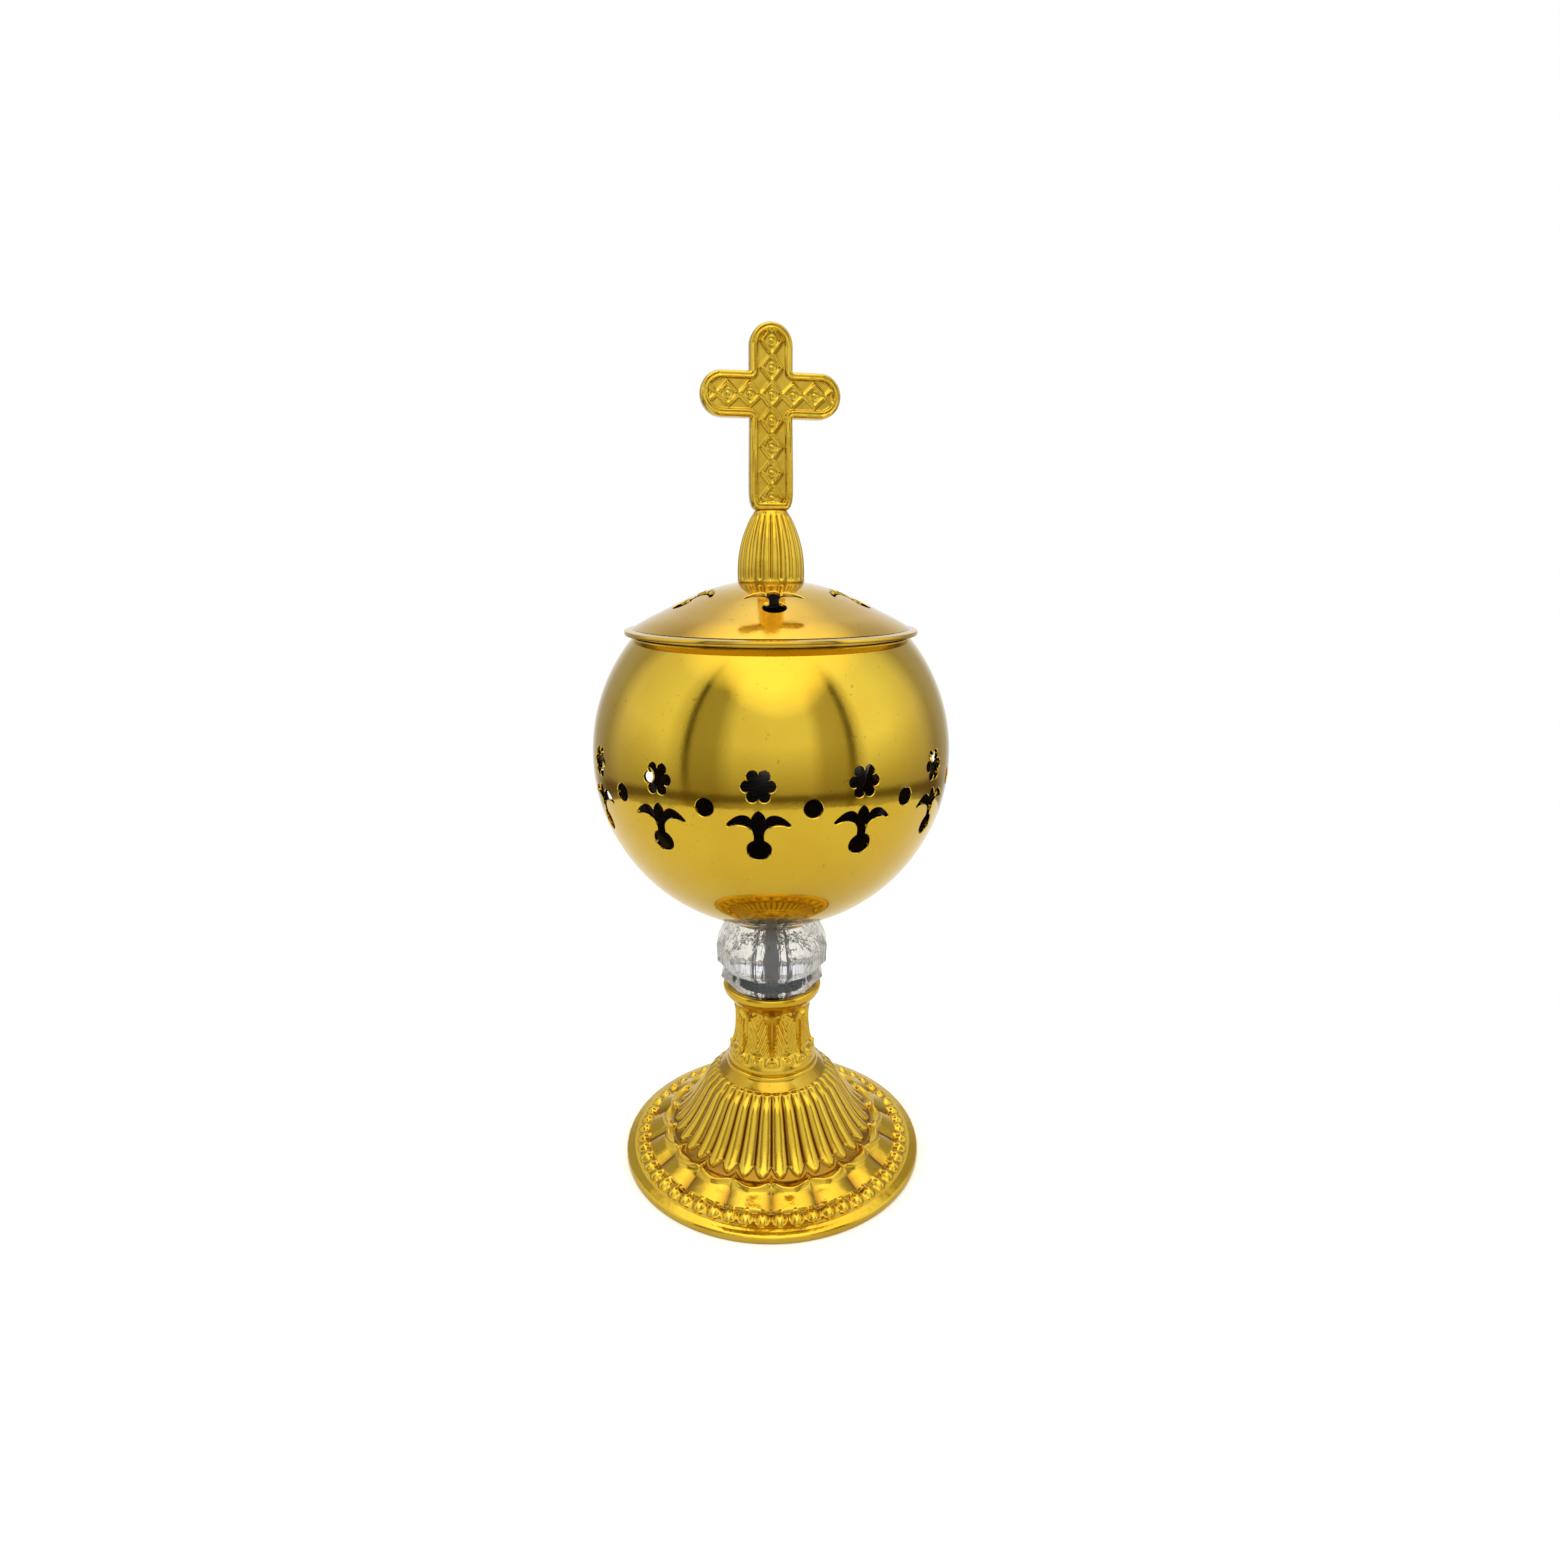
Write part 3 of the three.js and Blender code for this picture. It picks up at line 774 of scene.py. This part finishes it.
def ember_cup():
    """A tapering steel pot with a gilt flange."""
    outside = [(0.001, CUP_BOTTOM_Z), (21.5, CUP_BOTTOM_Z), (23.2, 104.4), (24.0, 105.8)]
    outside += [(30.1, 130), (31.3, 136), (31.5, 139)]
    flange = [(31.5, 142.6), (31.7, 142.85), (33.0, 142.9), (33.2, 143.0), (33.2, 143.3)]
    flange += [(33.0, FLANGE_TOP_Z), (31.0, FLANGE_TOP_Z)]
    within = [(30.7, 143.1), (30.7, 138.6), (30.5, 136), (29.3, 130.2), (23.3, 106.2)]
    within += [(22.9, 105.2), (21.4, 104.8), (0.001, 104.8)]
    points, faces = turned(outside + flange + within, 192, closed=False)[:2]

    def flanged(centres):
        return np.hypot(centres[:, 0], centres[:, 1]) > 31.6

    lining = (LID_GOLD, flanged)
    liner = make_piece("ember_liner", points, faces, STEEL, "cup", ["ember_cup"], lining=lining)


# ---- Lid ----


# Radius and height of points along the top of the lid.
DOME = [(40, 141.2), (34, 144.9), (30, 147.2), (26, 149.15), (22, 151.05), (18, 152.85)]
DOME += [(14, 154.3), (10, 155.3), (8, 155.55), (4, LID_TOP_Z), (0, LID_TOP_Z)]


def dome_height(r):
    """Height of the lid's top at a radius."""
    curve = np.array(smooth_curve(DOME, 12))[::-1]
    return np.interp(r, curve[:, 0], curve[:, 1])


def lid():
    """The dome with five fleur vents, its brim, and the collar that drops into the cup."""
    half = 180 / LID_VENTS
    radii = np.linspace(8.0, 34.0, 34)
    angles = np.radians(np.linspace(-half, half, 49))

    def polar(r, a):
        return (r * math.sin(a), -r * math.cos(a))

    edge = [polar(radii[0], a) for a in angles]
    edge += [polar(r, angles[-1]) for r in radii[1:]]
    edge += [polar(radii[-1], a) for a in angles[-2::-1]]
    edge += [polar(r, angles[0]) for r in radii[-2:0:-1]]
    grid = [polar(r, a) for r in radii[1:-1] for a in angles[1:-1]]
    vent = fleur_outline(0.8, 0.91) + (0, -LID_VENT_R)

    def outer(plane, depth):
        r = np.linalg.norm(plane, axis=1)
        return np.column_stack([plane, dome_height(r) - depth])

    def inner(plane, depth):
        r = np.linalg.norm(plane, axis=1)
        return np.column_stack([plane, dome_height(r) - LID_WALL + depth])

    points, faces = pierced_sheet(edge[::-1], grid, [vent], outer, inner)
    shell = copies(spun(points, math.radians(LID_VENT_AZ)), faces, LID_VENTS)
    brim = [
        (32.6, FLANGE_TOP_Z),
        (35.5, FLANGE_TOP_Z),
        (35.8, 143.5),
        (35.9, 143.8),
        (35.9, 144.2),
        (35.75, 144.5),
        (35.4, 144.62),
        (34.6, 144.62),
        (33.9, 144.93),
        (32.6, 144.7),
    ]
    rim = turned(brim, 240)[:2]
    disc = rounded([(HOLE_R, 154.8), (8.3, 154.8), (8.3, 155.58), (HOLE_R, 155.58)], 0.05)
    crown = turned(disc, 96)[:2]
    points, faces = joined(shell, rim, crown)

    def within(centres):
        r = np.linalg.norm(centres[:, :2], axis=1)
        return (r < 33.5) & (centres[:, 2] < dome_height(r) - 0.75 * LID_WALL)

    # Painted shade: the inside faces take the near-black brass.
    lining = (PAINTED_SHADE_BRASS, within)
    made = make_piece("lid_dome", points, faces, LID_GOLD, "lid", ["lid_shell"], 35, lining=lining)
    collar = rounded([(29.2, 139.4), (30.2, 139.4), (30.2, 145.8), (29.2, 145.8)], 0.3)
    turned_piece("lid_spigot", collar, 192, LID_GOLD, "lid", ["lid_collar"])


# ---- Bell ----


def bell_relief(r, z, phi, nr, nz):
    """Twenty flutes, each with a fine line along its middle."""
    out = np.clip(nr * 3, 0, 1) * (r > 3.5)
    flute = np.abs(np.sin(BELL_FLUTES / 2 * phi))
    lines = ridge(np.mod(phi * BELL_FLUTES / (2 * math.pi) + 0.5, 1.0) - 0.5, 0.09)
    body = band(z, 156.5, 171.2, 0.9)
    return (0.42 * (flute**0.6 - 0.9) - 0.12 * lines) * body * out


def bell():
    side = [(8.12, 156.4), (8.1, 159), (7.85, 161.8), (7.3, 164.6), (6.4, 167.4), (5.2, 170.1)]
    skirt = smooth_curve([*side, (4.45, 171.4)], 14)
    rim = [(2.1, LID_TOP_Z), (7.8, LID_TOP_Z), (8.05, 155.65), (8.2, 155.85), (8.2, 156.1)]
    top = [(4.15, 171.9), (4.1, 172.1), (3.9, BELL_TOP_Z), (1.8, BELL_TOP_Z), (1.8, 168), (0.001, 168)]
    outline = [(0.001, 166), (2.1, 166), *rim, *skirt, *top]
    points, faces, height = turned(outline, 320, bell_relief, closed=False)
    made = make_piece("bell_cast", points, faces, CAST_GOLD, "lid", ["finial_bell"], 60, height)


# ---- Cross ----


def cross_outline():
    """The cross seen from the front: x across, y the height; counterclockwise."""
    bar, top_z, span = 5.0, 208.5, 11.55

    def bow(cx, cz, start, end):
        a = np.radians(np.linspace(start, end, 17))
        return [(cx + bar * math.cos(t), cz + bar * math.sin(t)) for t in a]

    right = [
        (3.6, BELL_TOP_Z + 0.05),
        (4.1, BELL_TOP_Z + 0.3),
        (4.6, BELL_TOP_Z + 0.9),
        (5.0, BELL_TOP_Z + 2.0),
        (5.2, BELL_TOP_Z + 3.6),
        (5.2, BELL_TOP_Z + 8),
        (5.0, CROSS_ARM_Z - bar),
    ]
    outline = right + bow(span, CROSS_ARM_Z, -90, 90) + [(bar, CROSS_ARM_Z + bar)]
    outline += bow(0, top_z, 0, 180)
    outline += [(-bar, CROSS_ARM_Z + bar)] + bow(-span, CROSS_ARM_Z, 90, 270)
    outline += [(-x, z) for x, z in right[::-1]]
    return np.array(outline)


def fine_outline(outline, step):
    """The closed outline with points at most a step apart."""
    out = []
    for p, q in zip(outline, np.roll(outline, -1, axis=0)):
        count = max(1, int(math.ceil(np.linalg.norm(q - p) / step)))
        out += [p + (q - p) * i / count for i in range(count)]
    return np.array(out)


def cross_height(points, distance):
    """Height of one face of the cross over its mid plane: a raised border of two rails, and
    inside it, along both bars, a lattice of diamonds with a ringed dot in each."""
    x, z = points[:, 0], points[:, 1]
    shoulder = np.sqrt(np.clip(1 - (1 - np.clip(distance / 0.5, 0, 1)) ** 2, 0, 1))
    rails = ridge(distance - 0.55, 0.3) + ridge(distance - 1.35, 0.3)
    border = 1 - band(distance, 1.75, 99, 0.3)
    height = 1.1 + 0.45 * shoulder + 0.35 * rails * border - 0.45 * (1 - border)
    lattice = np.zeros(len(points))
    for run, side, pitch in ((z - CROSS_ARM_Z, x, 5.7), (x, z - CROSS_ARM_Z, 5.1)):
        wave = 2.3 * (1 - 2 * np.abs(np.mod(run / pitch / 2, 1.0) * 2 - 1))
        slope = 4.6 / pitch
        zig = np.minimum(np.abs(side - wave), np.abs(side + wave)) / math.hypot(1, slope)
        along = (np.mod(run / pitch + 0.5, 1.0) - 0.5) * pitch
        dot = np.hypot(along, side)
        strands = 0.5 * ridge(zig, 0.36) + 0.45 * ridge(dot, 0.42) + 0.2 * ridge(dot - 1.0, 0.2)
        lattice = np.maximum(lattice, strands * (np.abs(side) < 3.4))
    return height + lattice * (1 - border)


def cross():
    outline = fine_outline(cross_outline(), 0.3)
    step = 0.22
    xs = np.arange(-16.6, 16.6, step)
    zs = np.arange(BELL_TOP_Z, 213.6, step)
    grid = np.array([(x, z) for x in xs for z in zs])
    grid = grid[inside(grid, outline)]
    grid = grid[distance_to(grid, outline) > 0.1]
    coords = [Vector(p) for p in outline] + [Vector(p) for p in grid]
    edges = [(i, (i + 1) % len(outline)) for i in range(len(outline))]
    made, _, tris, _, _, _ = delaunay_2d_cdt(coords, edges, [], 0, 1e-6)
    plane = np.array([tuple(p) for p in made])
    tris = np.array(tris)
    tris = tris[inside(plane[tris].mean(axis=1), outline)]
    distance = distance_to(plane, outline)
    height = cross_height(plane, distance)
    front = np.column_stack([plane[:, 0], -height, plane[:, 1]])
    back = np.column_stack([plane[:, 0], height, plane[:, 1]])
    count, n = len(plane), len(outline)
    faces = [tuple(t) for t in tris] + [tuple(t[::-1] + count) for t in tris]
    faces += [(i, (i + 1) % n, count + (i + 1) % n, count + i) for i in range(n)]
    # Relief values for the painted recess shade: the lattice's sunken ground gets the darkest painted
    # shade, its strands and the border little or none.
    relief = 2.2 * np.concatenate([height, height]) - 2.9
    points = np.vstack([front, back])
    tenon = turned(rounded([(0.001, 168.5), (1.5, 168.5), (1.5, 173), (0.001, 173)], 0.2), 48)[:2]
    points, faces = joined((points, faces), tenon)
    relief = np.concatenate([relief, np.zeros(len(tenon[0]))])
    points = spun(points, math.radians(CROSS_YAW))
    made = make_piece("cross_cast", points, faces, CAST_GOLD, "lid", ["cross"], 60, relief)


# ---- Studio ----


# Brightness of the walls round the studio by bearing in degrees from the front, -Y, towards +X:
# pale screens at the front and at both sides, with dark gaps between them.
WALLS = [(-173, 0.95), (-160, 0.78), (-145, 0.5), (-122, 0.5), (-108, 0.95), (-68, 1.15)]
WALLS += [(-57, 0.8), (-54, 0.15), (-51.5, 0.15), (-49, 0.5), (-34, 0.5), (-22, 1.0), (0, 1.1)]
WALLS += [(24, 1.1), (33, 0.65), (47, 0.6), (49.5, 0.2), (52, 0.2), (55, 0.8), (62, 1.35)]
WALLS += [(80, 1.25), (108, 0.95), (124, 0.5), (146, 0.5), (160, 0.78), (173, 0.95)]
BACK_WALL = 0.95

# Soft pale screen overhead in front: direction, cosines of its outer and inner edge, colour.
SCREEN = ((0.06, -0.5, 0.864), 0.87, 0.985, (2.1, 2.0, 1.7))
CEILING = (1.9, 1.8, 1.45)
GROUND = (0.3, 0.25, 0.15)
GROUND_LINE = (0.1, 0.07, 0.03)


def floor_disc():
    """A white disc that looks a little darker in reflections: a painted shade of the floor round the
    censer.
    """
    bpy.ops.mesh.primitive_circle_add(vertices=128, radius=0.3, fill_type="NGON")
    floor = bpy.context.object
    floor.name = "floor"
    look, nodes, links, shader = new_look("floor_paper")
    coords = nodes.new("ShaderNodeTexCoord").outputs["Object"]
    cloud = noise(nodes, links, 3, 2, coords)
    tint = blend_colour(nodes, links, cloud, (0.9, 0.9, 0.9), (0.88, 0.88, 0.885))
    # Painted shade: glossy rays see the floor in a darker grey.
    path = nodes.new("ShaderNodeLightPath").outputs["Is Glossy Ray"]
    links.new(blend_colour(nodes, links, path, tint, (0.6, 0.59, 0.57)), shader.inputs["Base Color"])
    shader.inputs["Roughness"].default_value = 0.8
    floor.data.materials.append(look)


def surroundings():
    """What the metal reflects: walls by bearing, a pale ceiling and screen above, and below,
    everywhere but at the back, a darker ground with a dark line across it. The camera itself
    sees plain white."""
    bpy.context.scene.view_settings.view_transform = "Standard"
    world = bpy.data.worlds.new("studio")
    bpy.context.scene.world = world
    world.use_nodes = True
    nodes, links = world.node_tree.nodes, world.node_tree.links
    back = nodes["Background"]
    coords = nodes.new("ShaderNodeTexCoord").outputs["Generated"]
    split = nodes.new("ShaderNodeSeparateXYZ")
    links.new(coords, split.inputs[0])
    flip = nodes.new("ShaderNodeMath")
    flip.operation = "MULTIPLY"
    flip.inputs[1].default_value = -1
    links.new(split.outputs["Y"], flip.inputs[0])
    bearing = nodes.new("ShaderNodeMath")
    bearing.operation = "ARCTAN2"
    links.new(split.outputs["X"], bearing.inputs[0])
    links.new(flip.outputs[0], bearing.inputs[1])
    share = ramp(nodes, links, bearing.outputs[0], -math.pi, math.pi, 0, 1)
    walls = nodes.new("ShaderNodeValToRGB")
    stops = walls.color_ramp.elements
    stops[0].position = 0.0
    stops[1].position = 1.0
    stops[0].color = (BACK_WALL, BACK_WALL, BACK_WALL, 1)
    stops[1].color = (BACK_WALL, BACK_WALL, BACK_WALL, 1)
    for degrees, level in WALLS:
        stop = stops.new(degrees / 360 + 0.5)
        stop.color = (level, level * (0.92 + 0.1 * level), level * (0.75 + 0.3 * level), 1)
    links.new(share, walls.inputs["Fac"])
    up = ramp(nodes, links, split.outputs["Z"], 0.7, 0.92, 0, 1)
    sky = blend_colour(nodes, links, up, walls.outputs["Color"], CEILING)
    place, outer, inner, colour = SCREEN
    facing = nodes.new("ShaderNodeVectorMath")
    facing.operation = "DOT_PRODUCT"
    facing.inputs[1].default_value = place
    links.new(coords, facing.inputs[0])
    glow = ramp(nodes, links, facing.outputs["Value"], outer, inner, 0, 1)
    sky = blend_colour(nodes, links, glow, sky, colour)
    front = ramp(nodes, links, flip.outputs[0], -0.85, -0.6, 0, 1)
    low = times(nodes, links, front, ramp(nodes, links, split.outputs["Z"], -0.25, 0.25, 0.75, 0))
    ground = blend_colour(nodes, links, low, sky, GROUND)
    rise = ramp(nodes, links, split.outputs["Z"], -0.36, -0.32, 0, 0.8)
    line = times(nodes, links, rise, ramp(nodes, links, split.outputs["Z"], -0.28, -0.24, 1, 0))
    line = times(nodes, links, line, front)
    links.new(blend_colour(nodes, links, line, ground, GROUND_LINE), back.inputs["Color"])
    plain = nodes.new("ShaderNodeBackground")
    plain.inputs["Color"].default_value = (1, 1, 1, 1)
    path = nodes.new("ShaderNodeLightPath")
    seen = nodes.new("ShaderNodeMixShader")
    links.new(path.outputs["Is Camera Ray"], seen.inputs[0])
    links.new(back.outputs[0], seen.inputs[1])
    links.new(plain.outputs[0], seen.inputs[2])
    links.new(seen.outputs[0], nodes["World Output"].inputs["Surface"])


def daylight():
    """A wide soft light from above, which leaves no bright spot of its own."""
    data = bpy.data.lights.new("daylight", "SUN")
    data.energy = 0.85
    data.angle = math.radians(70)
    light = bpy.data.objects.new("daylight", data)
    light.rotation_euler = (math.radians(-12), math.radians(-10), 0)
    light.visible_glossy = False
    bpy.context.scene.collection.objects.link(light)


def lamp(name, place, size, power):
    """A square light turned towards the middle of the censer, unseen in reflections."""
    data = bpy.data.lights.new(name, "AREA")
    data.size = size
    data.energy = power
    light = bpy.data.objects.new(name, data)
    light.location = place
    light.rotation_euler = (Vector((0, 0, 0.1)) - Vector(place)).to_track_quat("-Z", "Y").to_euler()
    light.visible_glossy = False
    bpy.context.scene.collection.objects.link(light)


def camera():
    """The photo's viewpoint: in front and a little above, looking slightly down."""
    data = bpy.data.cameras.new("camera")
    data.sensor_width = 36
    data.lens = 20.487
    data.clip_start = 0.005
    view = bpy.data.objects.new("camera", data)
    view.location = (0.0022, -0.222, 0.16183)
    view.rotation_euler = (math.radians(75.84), 0, 0)
    bpy.context.scene.collection.objects.link(view)
    bpy.context.scene.camera = view


def stem_washers():
    """The two clear gaskets and the gold washer under the bowl."""
    gasket_top_z = KNOP_TOP_Z + 0.5
    low = washer("gasket_low", HOLE_R, 7.4, NECK_SEAT_Z, KNOP_BOTTOM_Z, NYLON, "stand", "lower_gasket")
    high = washer("gasket_high", HOLE_R, 7.4, KNOP_TOP_Z, gasket_top_z, NYLON, "stand", "upper_gasket")
    seat = washer("seat_washer", HOLE_R, 8.6, gasket_top_z, BOWL_SEAT_Z, GOLD, "stand", "bowl_seat")


# The nuts and washers inside the censer, which keep their CAD shapes.
HARDWARE = ["foot_washer", "foot_lock_washer", "foot_nut", "bowl_washer", "bowl_nut"]
HARDWARE += ["finial_washer", "finial_nut"]


def hardware():
    """Zinc plating for the CAD nuts and washers."""
    for node in HARDWARE:
        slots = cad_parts[node].data.materials
        slots.clear()
        slots.append(ZINC)


foot()
neck()
crystal()
rod("tie_rod_thread", 15.4, 76.4, "stand", ["tie_rod"])
rod("finial_stud_thread", 149.6, 165.6, "lid", ["finial_stud"])
stem_washers()
bowl()
ember_cup()
lid()
bell()
cross()
hardware()
floor_disc()
surroundings()
daylight()
lamp("key", (-0.55, -0.3, 0.6), 0.4, 0.6)
lamp("fill", (0.6, -0.25, 0.5), 0.4, 0.5)
camera()
